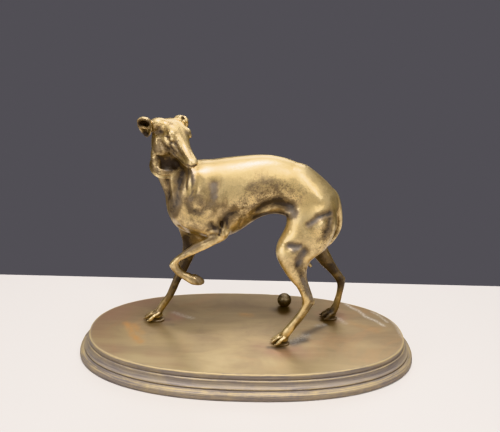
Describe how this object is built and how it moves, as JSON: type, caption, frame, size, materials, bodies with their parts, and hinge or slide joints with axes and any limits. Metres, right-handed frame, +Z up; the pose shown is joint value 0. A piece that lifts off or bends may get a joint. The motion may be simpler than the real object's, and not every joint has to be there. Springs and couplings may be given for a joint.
{
  "type": "greyhound statue",
  "caption": "Cast bronze greyhound with a raised forefoot, looking back over its shoulder, on a moulded oval plinth with a small ball beside its hind feet.",
  "frame": {"origin": "centre of the plinth's flat underside", "axes": "+Z up; +X along the plinth's length, from the head end to the tail end; +Y away from the side the dog looks back over"},
  "size_m": [0.2148, 0.1076, 0.1528],
  "materials": {
    "greyhound_bronze": "rubbed golden bronze, dark grey-brown patina left in the hollows",
    "plinth_bronze": "brushed brown-gold bronze, darker purplish-grey patina on the moulding",
    "ball_bronze": "dark bronze patina, little polished"
  },
  "bodies": {
    "root": {"greyhound": "greyhound_bronze", "plinth": "plinth_bronze", "ball": "ball_bronze"}
  },
  "joints": []
}
